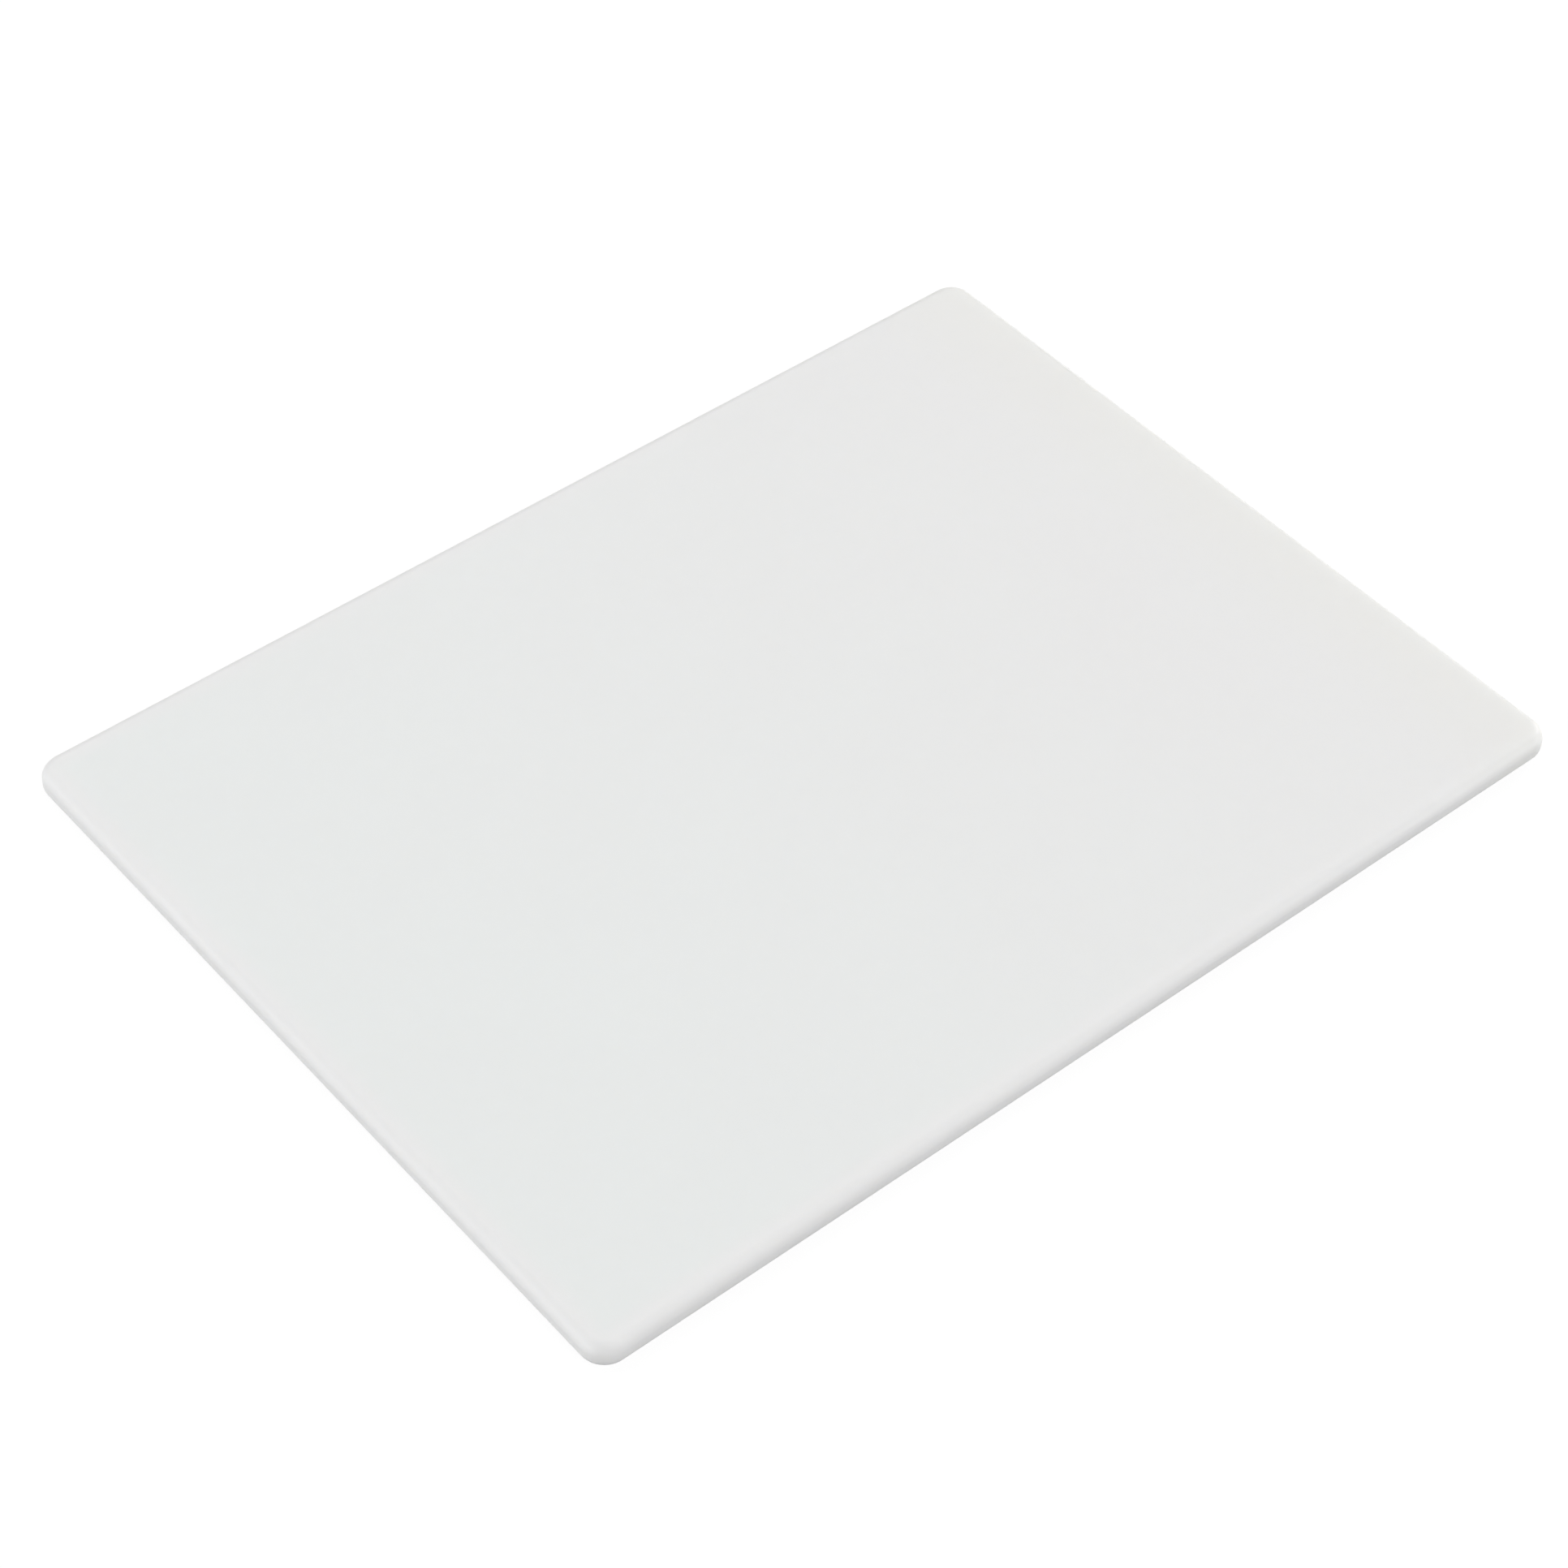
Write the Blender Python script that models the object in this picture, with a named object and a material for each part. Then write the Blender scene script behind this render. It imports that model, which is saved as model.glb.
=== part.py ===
"""White polyethylene cutting board.

One solid rectangular slab with its four corners rounded in plan and both
rims rounded over all the way round. The two large faces are flat and plain.

Frame: origin at the centre of the underside, +X along the board's length,
+Y across its width, +Z up through its thickness. Units are metres.
"""

import math

import bmesh
import bpy
from mathutils import Matrix, Vector

# ---------------------------------------------------------------- dimensions
LENGTH = 0.400          # overall, along X
WIDTH = 0.300           # overall, along Y
THICKNESS = 0.010       # overall, along Z
CORNER_RADIUS = 0.009   # upright corners, seen in plan
RIM_RADIUS = 0.004      # round-over on the upper and the lower rim
CORNER_SEGMENTS = 18    # facets in each quarter-round corner
RIM_SEGMENTS = 10       # facets in each quarter-round rim

# The two round-overs leave a straight band of wall between them, and each
# one is tight enough to follow the corners.
assert 2.0 * RIM_RADIUS < THICKNESS
assert RIM_RADIUS < CORNER_RADIUS

# ------------------------------------------------------ tolerances and shading
PLAN_TOLERANCE = 1e-7            # sideways drift allowed in an upright edge
LEVEL_NORMAL_Z = 0.99            # a face is level when its |normal.z| exceeds this
MERGE_DISTANCE = 1e-6            # vertices closer than this become one
CIRCULAR_PROFILE = 0.5           # bevel profile that gives a circular arc
SHARP_ANGLE = math.radians(30.0)  # edges that turn more than this shade sharp


def clear_scene():
    """Remove every object, then the meshes left without a user."""
    for obj in list(bpy.data.objects):
        bpy.data.objects.remove(obj, do_unlink=True)
    for mesh in list(bpy.data.meshes):
        if mesh.users == 0:
            bpy.data.meshes.remove(mesh)


def principled(name, colour, roughness, metallic):
    """Make a one-colour Principled BSDF material."""
    material = bpy.data.materials.new(name)
    material.use_nodes = True
    shader = material.node_tree.nodes["Principled BSDF"]
    shader.inputs["Base Color"].default_value = colour
    shader.inputs["Roughness"].default_value = roughness
    shader.inputs["Metallic"].default_value = metallic
    material.diffuse_color = colour  # solid-view colour
    return material


def white_polyethylene():
    """Slightly glossy off-white plastic."""
    return principled(
        name="white_polyethylene",
        colour=(0.80, 0.81, 0.80, 1.0),
        roughness=0.42,
        metallic=0.0,
    )


def is_upright(edge):
    """True for an edge that runs along Z."""
    start, end = (vert.co for vert in edge.verts)
    return abs(start.x - end.x) < PLAN_TOLERANCE and abs(start.y - end.y) < PLAN_TOLERANCE


def is_rim(edge):
    """True where a level face meets the upright wall."""
    if len(edge.link_faces) != 2:
        return False
    first, second = (abs(face.normal.z) > LEVEL_NORMAL_Z for face in edge.link_faces)
    return first != second


def round_edges(bm, belongs, radius, segments):
    """Round every edge for which belongs(edge) is true."""
    bmesh.ops.bevel(
        bm,
        geom=[edge for edge in bm.edges if belongs(edge)],
        offset=radius,
        offset_type="OFFSET",
        segments=segments,
        profile=CIRCULAR_PROFILE,
        affect="EDGES",
        clamp_overlap=True,
        miter_outer="SHARP",
        miter_inner="SHARP",
    )


def slab_mesh(name):
    """A block with its upright corners rounded, then both rims."""
    bm = bmesh.new()
    size = Matrix.Diagonal(Vector((LENGTH, WIDTH, THICKNESS, 1.0)))
    lift = Matrix.Translation(Vector((0.0, 0.0, THICKNESS / 2.0)))
    bmesh.ops.create_cube(bm, size=1.0, matrix=lift @ size)

    # Corners come first, so that each rim runs unbroken round them.
    round_edges(bm, is_upright, CORNER_RADIUS, CORNER_SEGMENTS)
    bm.normal_update()  # is_rim reads the face normals
    round_edges(bm, is_rim, RIM_RADIUS, RIM_SEGMENTS)

    bmesh.ops.remove_doubles(bm, verts=bm.verts, dist=MERGE_DISTANCE)
    bmesh.ops.recalc_face_normals(bm, faces=bm.faces)
    mesh = bpy.data.meshes.new(name)
    bm.to_mesh(mesh)
    bm.free()
    return mesh


def build_board_slab():
    """The whole board as one object, shaded smooth where it is round."""
    name = "board_slab"
    mesh = slab_mesh(name)
    mesh.shade_smooth()
    mesh.set_sharp_from_angle(angle=SHARP_ANGLE)
    mesh.materials.append(white_polyethylene())
    board = bpy.data.objects.new(name, mesh)
    bpy.context.scene.collection.objects.link(board)


clear_scene()
build_board_slab()
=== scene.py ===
"""A white polyethylene cutting board: a flat slab with rounded corners and quarter-round rims.

Everything is in metres in the part's own frame: origin at the centre of the
underside, +X along the length, +Y across the width, +Z up.
"""

import math
from functools import reduce
from itertools import accumulate

import bpy
import bmesh
from mathutils import Matrix, Vector


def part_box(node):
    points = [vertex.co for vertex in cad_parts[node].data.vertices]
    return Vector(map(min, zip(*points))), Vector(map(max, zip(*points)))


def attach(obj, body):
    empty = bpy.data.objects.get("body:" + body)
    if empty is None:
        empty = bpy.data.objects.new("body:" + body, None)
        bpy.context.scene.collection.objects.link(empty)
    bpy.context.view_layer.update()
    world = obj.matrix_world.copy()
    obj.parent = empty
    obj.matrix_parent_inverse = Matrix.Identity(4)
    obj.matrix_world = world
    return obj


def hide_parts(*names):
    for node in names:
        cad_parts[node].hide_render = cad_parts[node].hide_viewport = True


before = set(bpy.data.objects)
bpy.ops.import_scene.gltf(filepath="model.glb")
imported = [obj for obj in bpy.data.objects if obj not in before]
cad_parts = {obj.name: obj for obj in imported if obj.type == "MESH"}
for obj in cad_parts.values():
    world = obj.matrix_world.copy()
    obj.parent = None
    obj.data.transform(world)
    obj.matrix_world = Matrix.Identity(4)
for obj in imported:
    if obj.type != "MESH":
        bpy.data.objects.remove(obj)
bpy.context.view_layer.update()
SLAB_LO, SLAB_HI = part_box("board_slab")

# ------------------------------------------------------------------ the board
LENGTH = SLAB_HI.x - SLAB_LO.x
WIDTH = SLAB_HI.y - SLAB_LO.y
THICK = SLAB_HI.z - SLAB_LO.z
CORNER_R = 0.009                        # in plan
RIM_R = 0.004                           # quarter rounds at top and bottom
CORNER_X = LENGTH / 2 - CORNER_R        # centres of the plan corners
CORNER_Y = WIDTH / 2 - CORNER_R

ARC_SEGS = 28          # round each corner in plan
RIM_SEGS = 14          # over each quarter-round rim
STEPS_X = 64           # along the straight part of a long side
STEPS_Y = 48           # along the straight part of a short side

# The outline runs anticlockwise from the +X -Y corner: each corner, then the side after it.
SIDE_STEPS = (STEPS_Y, STEPS_X, STEPS_Y, STEPS_X)
SIDE_STARTS = list(accumulate((ARC_SEGS + steps for steps in SIDE_STEPS), initial=0))

UV_GAP = 0.004         # between the UV charts, at the board's own scale
FLATS_UV_HEIGHT = 2 * (WIDTH + UV_GAP)

# Long, shallow height error of the top face.
WAVE_HEIGHT = 0.000022
WAVE_FADE_POWER = 6    # how late the wave fades towards the rim
WAVES = (              # share, radians per metre along X and along Y, phase
    (0.50, 31.0, 9.0, 0.7),
    (0.35, 17.0, -43.0, 2.1),
    (0.25, 71.0, 37.0, 4.4),
)


def face_wave(x, y):
    """Height error of the top face at (x, y), gone at the edge of the inner grid."""
    fade_x = max(0.0, 1.0 - (abs(x) / CORNER_X) ** WAVE_FADE_POWER)
    fade_y = max(0.0, 1.0 - (abs(y) / CORNER_Y) ** WAVE_FADE_POWER)
    height = sum(share * math.sin(per_x * x + per_y * y + phase)
                 for share, per_x, per_y, phase in WAVES)
    return WAVE_HEIGHT * fade_x * fade_y * height


def plan_ring(inset):
    """Points (x, y) round the board's plan outline, moved in by inset."""
    radius = CORNER_R - inset
    corners = (                         # centre x, centre y, start angle
        (CORNER_X, -CORNER_Y, -90.0),
        (CORNER_X, CORNER_Y, 0.0),
        (-CORNER_X, CORNER_Y, 90.0),
        (-CORNER_X, -CORNER_Y, 180.0),
    )

    def on_arc(centre_x, centre_y, degrees):
        angle = math.radians(degrees)
        return centre_x + radius * math.cos(angle), centre_y + radius * math.sin(angle)

    points = []
    for k, (x, y, start) in enumerate(corners):
        for i in range(ARC_SEGS + 1):
            points.append(on_arc(x, y, start + 90.0 * i / ARC_SEGS))
        next_x, next_y, _ = corners[(k + 1) % 4]
        side_start = Vector(on_arc(x, y, start + 90.0))
        side_end = Vector(on_arc(next_x, next_y, start + 90.0))
        for i in range(1, SIDE_STEPS[k]):
            points.append(tuple(side_start.lerp(side_end, i / SIDE_STEPS[k])))
    return points


def rim_profile():
    """(inset, height) over the top rim, down the upright land and under the bottom rim."""
    turns = [math.radians(90.0 * i / RIM_SEGS) for i in range(RIM_SEGS + 1)]
    top = [(RIM_R * (1.0 - math.sin(a)), THICK - RIM_R * (1.0 - math.cos(a))) for a in turns]
    bottom = [(RIM_R * (1.0 - math.cos(a)), RIM_R * (1.0 - math.sin(a))) for a in turns]
    return top + bottom


def add_rim(bm, rings, drops):
    """Quads between the rings. Gives (face, its corners' UVs in metres) for each."""
    outer = rings[RIM_SEGS]
    count = len(outer)
    along = list(accumulate(((outer[(i + 1) % count].co - outer[i].co).length
                             for i in range(count)), initial=0.0))
    placed = []
    for level, (upper, lower) in enumerate(zip(rings, rings[1:])):
        # One UV strip for each corner and its side, so that none is longer than the board.
        for strip, (first, last) in enumerate(zip(SIDE_STARTS, SIDE_STARTS[1:])):
            strip_top = FLATS_UV_HEIGHT + strip * (drops[-1] + UV_GAP) + drops[-1]
            v0, v1 = strip_top - drops[level], strip_top - drops[level + 1]
            for i in range(first, last):
                j = (i + 1) % count
                u0, u1 = along[i] - along[first], along[i + 1] - along[first]
                quad = bm.faces.new((upper[i], lower[i], lower[j], upper[j]))
                placed.append((quad, ((u0, v0), (u0, v1), (u1, v1), (u1, v0))))
    return placed


def add_flat(bm, ring, z, is_top):
    """An even grid, a strip of quads out to the ring on each side, and a fan in each corner."""
    placed = []
    grid = []
    for j in range(STEPS_Y + 1):
        row = []
        for i in range(STEPS_X + 1):
            x = -CORNER_X + 2 * CORNER_X * i / STEPS_X
            y = -CORNER_Y + 2 * CORNER_Y * j / STEPS_Y
            wave = face_wave(x, y) if is_top else 0.0
            row.append(bm.verts.new((x, y, z + wave)))
        grid.append(row)

    mirror, uv_base = (1.0, 0.0) if is_top else (-1.0, WIDTH + UV_GAP)

    def face(*verts):
        verts = verts if is_top else tuple(reversed(verts))
        uvs = [(mirror * v.co.x + LENGTH / 2, v.co.y + WIDTH / 2 + uv_base) for v in verts]
        placed.append((bm.faces.new(verts), uvs))

    for row, next_row in zip(grid, grid[1:]):
        for i in range(STEPS_X):
            face(row[i], row[i + 1], next_row[i + 1], next_row[i])

    # The grid's own sides in the ring's order: +X, +Y, -X, -Y.
    sides = ([row[-1] for row in grid], grid[-1][::-1],
             [row[0] for row in reversed(grid)], grid[0])
    for start, inner in zip(SIDE_STARTS, sides):
        for i in range(start, start + ARC_SEGS):
            face(inner[0], ring[i], ring[i + 1])
        for i in range(len(inner) - 1):
            k = start + ARC_SEGS + i
            face(inner[i], ring[k % len(ring)], ring[(k + 1) % len(ring)], inner[i + 1])
    return placed


def board_mesh():
    bm = bmesh.new()
    profile = rim_profile()
    rings = [[bm.verts.new((x, y, SLAB_LO.z + z)) for x, y in plan_ring(inset)]
             for inset, z in profile]
    # how far each ring is down the rim
    drops = list(accumulate((math.hypot(i1 - i0, z1 - z0)
                             for (i0, z0), (i1, z1) in zip(profile, profile[1:])), initial=0.0))
    placed = add_rim(bm, rings, drops)
    placed += add_flat(bm, rings[0], SLAB_HI.z, is_top=True)
    placed += add_flat(bm, rings[-1], SLAB_LO.z, is_top=False)
    bm.normal_update()

    # Both flats and the four rim strips, one above the other at one scale, with gaps between the
    # strips, so that a bake into this layout leaves no dark line along the rims. Nothing in the
    # materials reads it.
    layer = bm.loops.layers.uv.new("OFBake")
    span = FLATS_UV_HEIGHT + 4 * (drops[-1] + UV_GAP) + UV_GAP
    for face, uvs in placed:
        for loop, (u, v) in zip(face.loops, uvs):
            loop[layer].uv = ((u + UV_GAP) / span, (v + UV_GAP) / span)
    mesh = bpy.data.meshes.new("board_surface")
    bm.to_mesh(mesh)
    bm.free()
    mesh.shade_smooth()
    mesh.set_sharp_from_angle(angle=math.radians(40.0))
    return mesh


# --------------------------------------------------------------- the material
class Nodes:
    """Short names for building a node tree. Any value may be a number or an output."""

    def __init__(self, tree):
        self.tree = tree
        self.tree.nodes.clear()

    def add(self, kind, **props):
        node = self.tree.nodes.new(kind)
        for key, value in props.items():
            setattr(node, key, value)
        return node

    def put(self, socket, value):
        if hasattr(value, "is_output"):
            self.tree.links.new(value, socket)
        else:
            socket.default_value = value

    def math(self, op, a, b=0.0, c=0.0, clamp=False):
        node = self.add("ShaderNodeMath", operation=op, use_clamp=clamp)
        for socket, value in zip(node.inputs, (a, b, c)):
            self.put(socket, value)
        return node.outputs[0]

    def times(self, value, factor):
        return self.math("MULTIPLY", value, factor)

    def plus(self, a, b, clamp=False):
        return self.math("ADD", a, b, clamp=clamp)

    def spread(self, value, gain, offset):
        return self.math("MULTIPLY_ADD", value, gain, offset)

    def vector_math(self, op, **inputs):
        """A vector node; inputs are first, second and scale."""
        node = self.add("ShaderNodeVectorMath", operation=op)
        sockets = {"first": 0, "second": 1, "scale": "Scale"}
        for key, value in inputs.items():
            self.put(node.inputs[sockets[key]], value)
        return node.outputs["Value" if op in ("DOT_PRODUCT", "LENGTH") else "Vector"]

    def split(self, vector):
        node = self.add("ShaderNodeSeparateXYZ")
        self.put(node.inputs[0], vector)
        return node.outputs

    def scaled(self, vector, scale, turn=0.0):
        node = self.add("ShaderNodeMapping", vector_type="POINT")
        self.put(node.inputs["Vector"], vector)
        node.inputs["Rotation"].default_value = (0.0, 0.0, turn)
        node.inputs["Scale"].default_value = scale
        return node.outputs["Vector"]

    def noise(self, vector, size, detail, rough, distort=0.0, turn=0.0):
        """Noise with features of the given size along x, y and z."""
        vector = self.scaled(vector, tuple(1 / length for length in size), turn)
        node = self.add("ShaderNodeTexNoise", noise_dimensions="3D")
        for key, value in (("Vector", vector), ("Scale", 1.0), ("Detail", detail),
                           ("Roughness", rough), ("Distortion", distort)):
            self.put(node.inputs[key], value)
        return node.outputs["Fac"]

    def ramp(self, value, lo, hi, out_lo=0.0, out_hi=1.0, smooth=False):
        node = self.add("ShaderNodeMapRange", clamp=True,
                        interpolation_type="SMOOTHSTEP" if smooth else "LINEAR")
        for key, level in (("Value", value), ("From Min", lo), ("From Max", hi),
                           ("To Min", out_lo), ("To Max", out_hi)):
            self.put(node.inputs[key], level)
        return node.outputs["Result"]

    def mix_rgb(self, factor, a, b):
        node = self.add("ShaderNodeMix", data_type="RGBA", blend_type="MIX")
        for index, value in ((0, factor), (6, a), (7, b)):
            self.put(node.inputs[index], value)
        return node.outputs[2]


# In the functions below, mm is the object position in millimetres, xyz is its three
# parts, flat is 1 on the two flats and 0 on the rims, and rim is the reverse.

def board_colour(nodes, mm, xyz):
    """White that is lighter and cooler at -X and a little darker and neutral at +X as painted
    light along X, with faint clouding, a greyer border and a warmer +X end.
    """
    cool_white = (0.792, 0.812, 0.806, 1.0)
    neutral_white = (0.790, 0.786, 0.786, 1.0)
    no_tint = (1.0, 1.0, 1.0, 1.0)
    warm_tint = (1.002, 1.002, 0.985, 1.0)

    cloud = nodes.noise(mm, size=(85, 60, 60), detail=2.0, rough=0.55)
    mottle = nodes.noise(mm, size=(6, 6, 6), detail=3.0, rough=0.6)
    fleck = nodes.noise(mm, size=(0.9, 0.9, 0.9), detail=2.0, rough=0.6)
    # painted light: the drift along X makes the -X end a little lighter and cooler, and the +X
    # end a little darker and neutral
    light_and_tint_drift = nodes.ramp(xyz[0], lo=-200.0, hi=200.0)
    tint_and_light_mix = nodes.plus(nodes.spread(cloud, gain=0.5, offset=-0.25), light_and_tint_drift, clamp=True)
    base = nodes.mix_rgb(tint_and_light_mix, cool_white, neutral_white)

    # plain grey-white in the last centimetre in from the outline
    edge_x, edge_y = (nodes.math("SUBTRACT", 1000.0 * size / 2, nodes.math("ABSOLUTE", place))
                      for size, place in ((LENGTH, xyz[0]), (WIDTH, xyz[1])))
    edge = nodes.math("MINIMUM", edge_x, edge_y)
    grey = nodes.add("ShaderNodeRGBToBW")
    nodes.put(grey.inputs[0], base)
    border = nodes.ramp(edge, lo=3.0, hi=11.0, out_lo=1.0, out_hi=0.0, smooth=True)
    base = nodes.mix_rgb(border, base, grey.outputs[0])

    warm_end = nodes.ramp(xyz[0], lo=150.0, hi=195.0, smooth=True)
    base = nodes.vector_math("MULTIPLY", first=base,
                             second=nodes.mix_rgb(warm_end, no_tint, warm_tint))
    shade = nodes.plus(nodes.spread(mottle, gain=0.016, offset=0.984),
                       nodes.times(fleck, factor=0.010))
    return nodes.vector_math("SCALE", first=base, scale=shade)


def hairlines(nodes, mm, flat):
    """Fine straight lines on the flats, in three directions."""
    lines = []
    for turn in (0.35, 1.22, 2.45):
        streak = nodes.noise(mm, size=(70, 0.55, 40), detail=1.0, rough=0.4, distort=0.15,
                             turn=turn)
        lines.append(nodes.ramp(streak, lo=0.70, hi=0.80, smooth=True))
    return nodes.times(reduce(lambda a, b: nodes.math("MAXIMUM", a, b), lines), flat)


def board_roughness(nodes, mm, rim, hairs):
    """Satin in soft patches, slicker on the rims and rougher in the hairlines."""
    patch = nodes.noise(mm, size=(38, 30, 30), detail=3.0, rough=0.6)
    rough = nodes.plus(nodes.spread(patch, gain=0.10, offset=0.40),
                       nodes.times(rim, factor=-0.05))
    return nodes.plus(rough, nodes.times(hairs, factor=0.06))


def board_relief(nodes, mm, xyz, flat, rim, hairs):
    """Height in metres: grain and hairlines on the flats, tool lines along the rims."""
    fine_height, coarse_height = 0.000016, 0.000020
    tool_height, hair_height = 0.0000022, -0.000004
    tool_pitch = 0.62                   # mm up the rim
    tool_wobble = 5.0                   # radians

    fine = nodes.noise(mm, size=(0.75, 0.75, 0.75), detail=3.0, rough=0.55)
    coarse = nodes.noise(mm, size=(3.2, 3.2, 3.2), detail=2.0, rough=0.5)
    grain = nodes.plus(nodes.times(fine, fine_height), nodes.times(coarse, coarse_height))
    wobble = nodes.noise(mm, size=(60, 60, 2.0), detail=2.0, rough=0.5)
    phase = nodes.plus(nodes.times(xyz[2], 2 * math.pi / tool_pitch),
                       nodes.times(wobble, tool_wobble))
    tool = nodes.times(nodes.math("SINE", phase), tool_height)
    # the rims keep a quarter of the grain
    grain = nodes.times(nodes.spread(flat, gain=0.75, offset=0.25), grain)
    return nodes.plus(grain, nodes.plus(nodes.times(rim, tool), nodes.times(hairs, hair_height)))


def board_sheen(nodes, geometry, flat, rim):
    """Specular level: the flats lose it at a glancing view, and the rims a little later."""
    facing = nodes.math("ABSOLUTE", nodes.vector_math(
        "DOT_PRODUCT", first=geometry["Incoming"], second=geometry["Normal"]))
    sheen = nodes.plus(
        nodes.times(flat, nodes.ramp(facing, lo=0.40, hi=0.62, smooth=True)),
        nodes.times(rim, nodes.ramp(facing, lo=0.28, hi=0.52, smooth=True)))
    return nodes.times(sheen, factor=0.30)


def polyethylene():
    """White polyethylene: fine satin grain on the flats, smoother rims, a little depth."""
    mat = bpy.data.materials.new("white_polyethylene")
    mat.use_nodes = True
    nodes = Nodes(mat.node_tree)
    out = nodes.add("ShaderNodeOutputMaterial")
    bsdf = nodes.add("ShaderNodeBsdfPrincipled")
    nodes.put(out.inputs["Surface"], bsdf.outputs[0])

    position = nodes.add("ShaderNodeTexCoord").outputs["Object"]
    mm = nodes.scaled(position, (1000.0, 1000.0, 1000.0))
    xyz = nodes.split(mm)
    geometry = nodes.add("ShaderNodeNewGeometry").outputs
    upright = nodes.math("ABSOLUTE", nodes.split(geometry["True Normal"])[2])
    flat = nodes.ramp(upright, lo=0.93, hi=0.995, smooth=True)
    rim = nodes.math("SUBTRACT", 1.0, flat)

    colour = board_colour(nodes, mm, xyz)
    hairs = hairlines(nodes, mm, flat)
    bump = nodes.add("ShaderNodeBump")
    for key, value in (("Strength", 1.0), ("Distance", 1.0),
                       ("Height", board_relief(nodes, mm, xyz, flat, rim, hairs))):
        nodes.put(bump.inputs[key], value)

    bsdf.subsurface_method = "RANDOM_WALK"
    for key, value in (
        ("Base Color", colour),
        ("Roughness", board_roughness(nodes, mm, rim, hairs)),
        ("Normal", bump.outputs["Normal"]),
        ("Specular IOR Level", board_sheen(nodes, geometry, flat, rim)),
        ("Metallic", 0.0),
        ("IOR", 1.50),
        ("Subsurface Weight", 0.25),
        ("Subsurface Radius", (1.0, 0.95, 0.85)),
        ("Subsurface Scale", 0.012),
    ):
        nodes.put(bsdf.inputs[key], value)
    return mat


def add_board():
    board = bpy.data.objects.new("board_surface", board_mesh())
    bpy.context.scene.collection.objects.link(board)
    board.data.materials.append(polyethylene())
    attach(board, "root")
    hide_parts("board_slab")


# ------------------------------------------------------------ floor and light
FLOOR_SHADOW = 0.10        # how much of the real soft shadow the pale floor shows
FLOOR_BOUNCE = 0.45        # what the floor gives back to the board
FLOOR_DROP = 0.0002        # below the underside
FLOOR_HALF = 5.0           # half the side of the square
DOME_LEVEL = 0.02          # what the room gives; the camera sees it as plain white


def floor_material():
    """A pale floor: nearly even white to the camera, matt grey to the light."""
    mat = bpy.data.materials.new("pale_floor")
    mat.use_nodes = True
    nodes = Nodes(mat.node_tree)
    out = nodes.add("ShaderNodeOutputMaterial")
    path = nodes.add("ShaderNodeLightPath")

    def diffuse(level):
        node = nodes.add("ShaderNodeBsdfDiffuse")
        node.inputs["Color"].default_value = (level, level, level, 1.0)
        return node.outputs[0]

    plain = diffuse(FLOOR_BOUNCE)
    thin = diffuse(FLOOR_SHADOW)
    glow = nodes.add("ShaderNodeEmission")
    glow.inputs["Color"].default_value = (1.0, 1.0, 1.0, 1.0)
    # even white from a metre or two out, so that a low view shows no horizon line
    position = nodes.add("ShaderNodeTexCoord").outputs["Object"]
    distance = nodes.vector_math("LENGTH", first=position)
    nodes.put(glow.inputs["Strength"],
              nodes.ramp(distance, lo=0.7, hi=1.8, out_lo=0.925, out_hi=1.0, smooth=True))
    seen = nodes.add("ShaderNodeAddShader")
    nodes.put(seen.inputs[0], thin)
    nodes.put(seen.inputs[1], glow.outputs[0])
    mix = nodes.add("ShaderNodeMixShader")
    for index, value in enumerate((path.outputs["Is Camera Ray"], plain, seen.outputs[0])):
        nodes.put(mix.inputs[index], value)
    nodes.put(out.inputs["Surface"], mix.outputs[0])
    return mat


def add_floor():
    bm = bmesh.new()
    bmesh.ops.create_grid(bm, x_segments=8, y_segments=8, size=FLOOR_HALF)
    mesh = bpy.data.meshes.new("floor")
    bm.to_mesh(mesh)
    bm.free()
    floor = bpy.data.objects.new("floor", mesh)
    floor.location = (0.0, 0.0, SLAB_LO.z - FLOOR_DROP)
    bpy.context.scene.collection.objects.link(floor)
    floor.data.materials.append(floor_material())


def add_dome():
    world = bpy.data.worlds.new("studio")
    bpy.context.scene.world = world
    world.use_nodes = True
    nodes = Nodes(world.node_tree)
    out = nodes.add("ShaderNodeOutputWorld")
    path = nodes.add("ShaderNodeLightPath")
    back = nodes.add("ShaderNodeBackground")
    back.inputs["Color"].default_value = (1.0, 1.0, 1.0, 1.0)
    nodes.put(back.inputs["Strength"], nodes.ramp(path.outputs["Is Camera Ray"], lo=0.0, hi=1.0,
                                                  out_lo=DOME_LEVEL, out_hi=1.0))
    nodes.put(out.inputs["Surface"], back.outputs[0])


# Soft boxes round the board, all facing it. Columns: name, azimuth from +X towards +Y and
# elevation in degrees, side, the white level it adds on a matt surface that faces it, colour.
BOX_DISTANCE = 5.0
WHITE = (1.0, 1.0, 1.0)
SOFT_BOXES = (
    ("back_right", 45.0, 45.0, 3.0, 0.237, WHITE),
    ("back", 90.0, 45.0, 3.0, 0.159, WHITE),
    ("back_left", 135.0, 45.0, 3.0, 0.198, WHITE),
    ("back_left_low", 135.0, 14.0, 2.6, 0.180, WHITE),
    ("left_low", 180.0, 14.0, 2.6, 0.492, (0.995, 1.0, 1.0)),
    ("front", 270.0, 45.0, 3.0, 0.345, WHITE),
    ("front_low", 270.0, 14.0, 2.6, 0.058, WHITE),
    ("front_right_low", 315.0, 14.0, 2.6, 0.464, WHITE),
    ("key_right", 6.0, 22.0, 1.6, 0.373, (1.0, 0.99, 0.96)),
)


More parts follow.
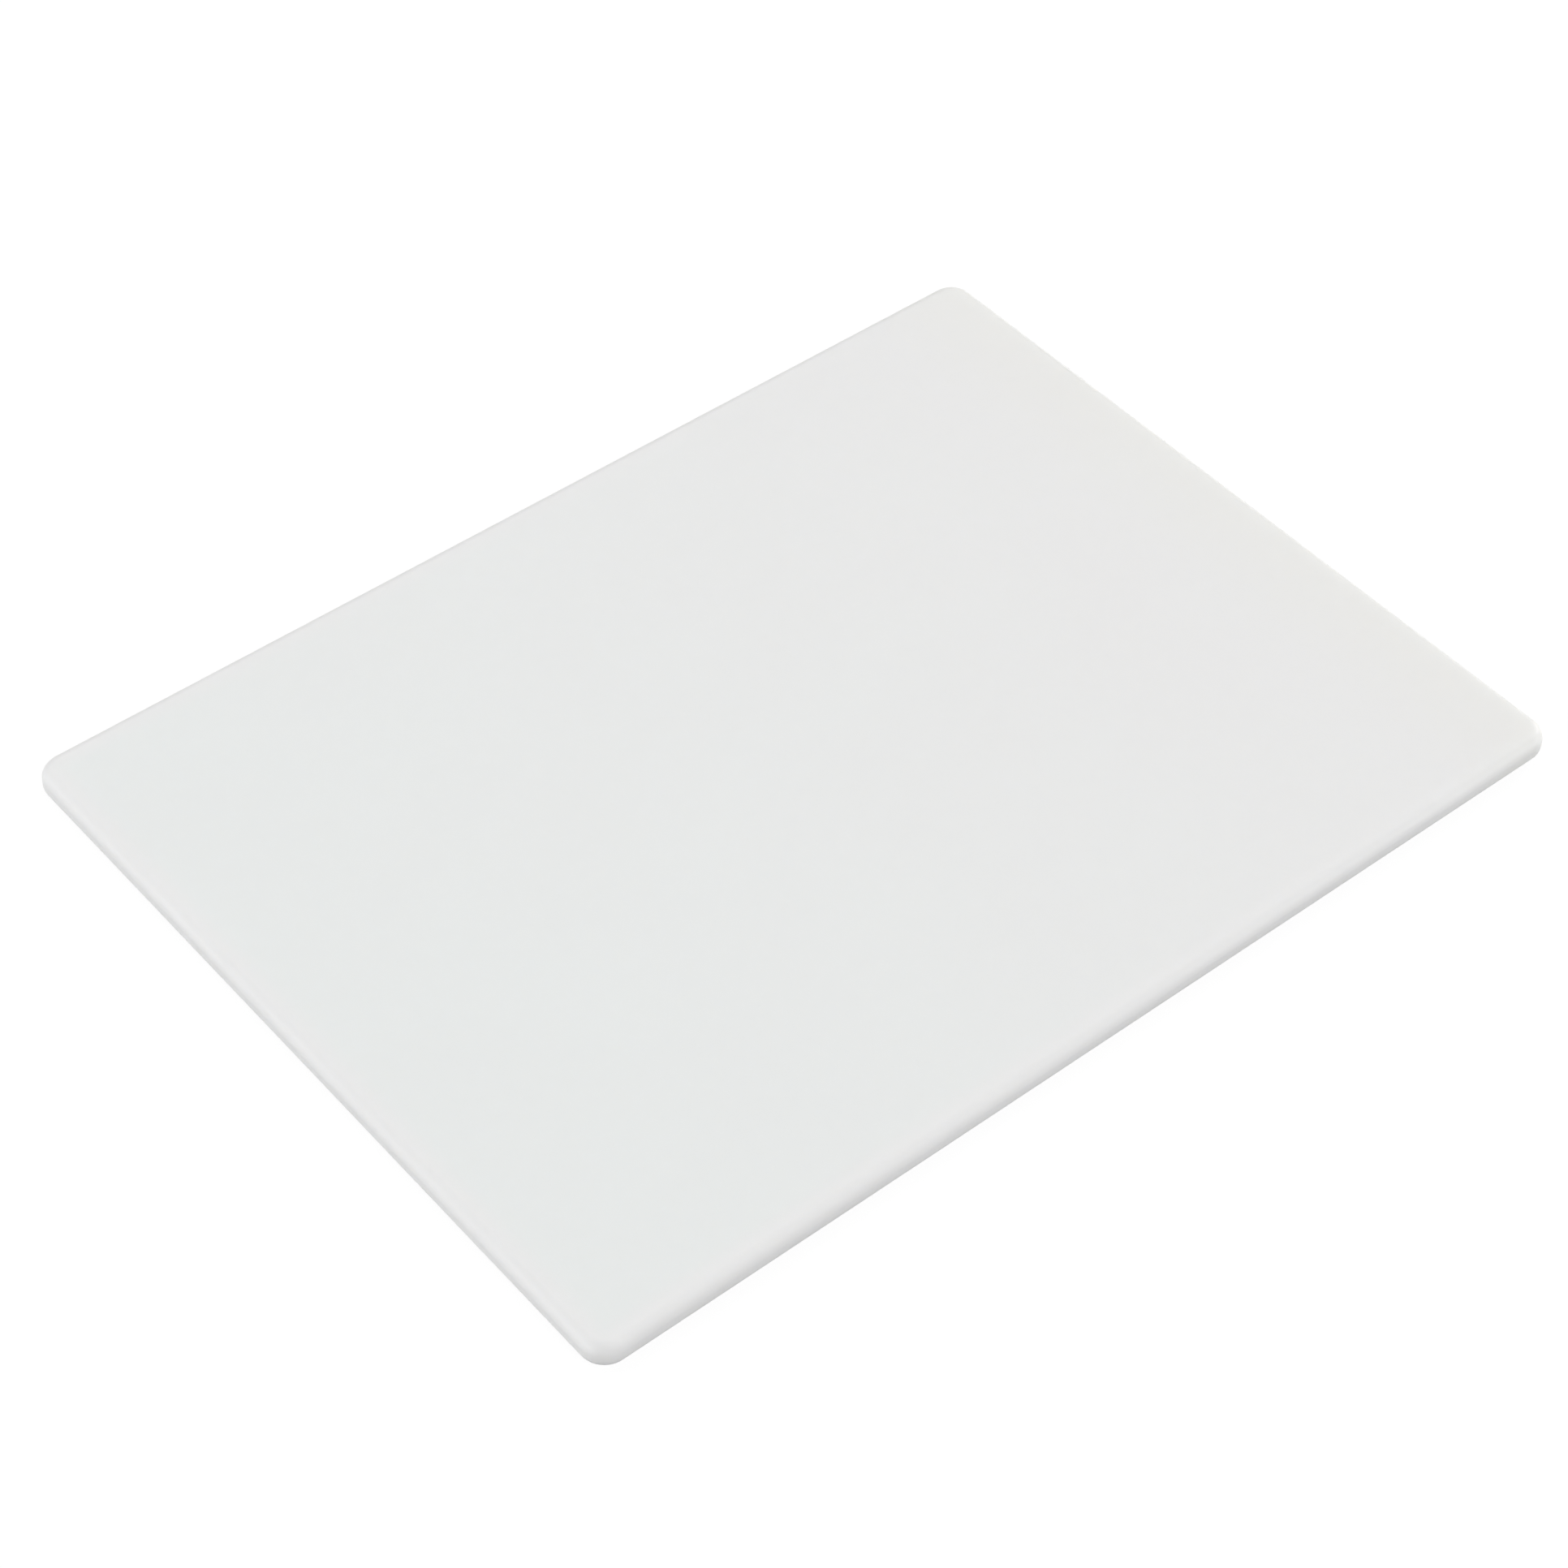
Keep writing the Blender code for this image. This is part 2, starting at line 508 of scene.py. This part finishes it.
def add_soft_box(name, azimuth, elevation, side, level, colour):
    data = bpy.data.lights.new(name, "AREA")
    data.shape = "SQUARE"
    data.size = side
    data.energy = level * math.pi ** 2 * BOX_DISTANCE ** 2
    data.color = colour
    box = bpy.data.objects.new(name, data)
    az, el = math.radians(azimuth), math.radians(elevation)
    outward = Vector((math.cos(az) * math.cos(el), math.sin(az) * math.cos(el), math.sin(el)))
    box.location = outward * BOX_DISTANCE
    box.rotation_euler = outward.to_track_quat("Z", "Y").to_euler()
    box.visible_camera = False
    bpy.context.scene.collection.objects.link(box)


# ------------------------------------------------------------------- camera
CAM_AZIMUTH = -40.9878         # degrees from -Y towards +X
CAM_ELEVATION = 46.5842
CAM_ROLL = 1.7086
CAM_DISTANCE = 1.276541        # from the middle of the board
CAM_SHIFT_X = -0.005184        # along the camera's own axes
CAM_SHIFT_Y = -0.008621
CAM_SENSOR = 36.0              # mm
CAM_LENS = 89.337913           # mm


def add_camera():
    az, el, roll = (math.radians(v) for v in (CAM_AZIMUTH, CAM_ELEVATION, CAM_ROLL))
    back = Vector((math.sin(az) * math.cos(el), -math.cos(az) * math.cos(el), math.sin(el)))
    right = (-back).cross(Vector((0.0, 0.0, 1.0))).normalized()
    up = right.cross(-back)
    x = right * math.cos(roll) + up * math.sin(roll)
    y = up * math.cos(roll) - right * math.sin(roll)
    middle = Vector((0.0, 0.0, (SLAB_LO.z + SLAB_HI.z) / 2))
    place = middle + back * CAM_DISTANCE + x * CAM_SHIFT_X + y * CAM_SHIFT_Y
    data = bpy.data.cameras.new("photo_angle")
    data.sensor_width = CAM_SENSOR
    data.lens = CAM_LENS
    data.clip_start, data.clip_end = 0.05, 50.0
    camera = bpy.data.objects.new("photo_angle", data)
    turn = Matrix((x, y, back)).transposed()
    camera.matrix_world = Matrix.Translation(place) @ turn.to_4x4()
    bpy.context.scene.collection.objects.link(camera)
    bpy.context.scene.camera = camera


add_board()
add_floor()
add_dome()
for soft_box in SOFT_BOXES:
    add_soft_box(*soft_box)
add_camera()

view = bpy.context.scene.view_settings
view.view_transform = "Standard"
view.look = "None"
view.exposure = 0.0
view.gamma = 1.0
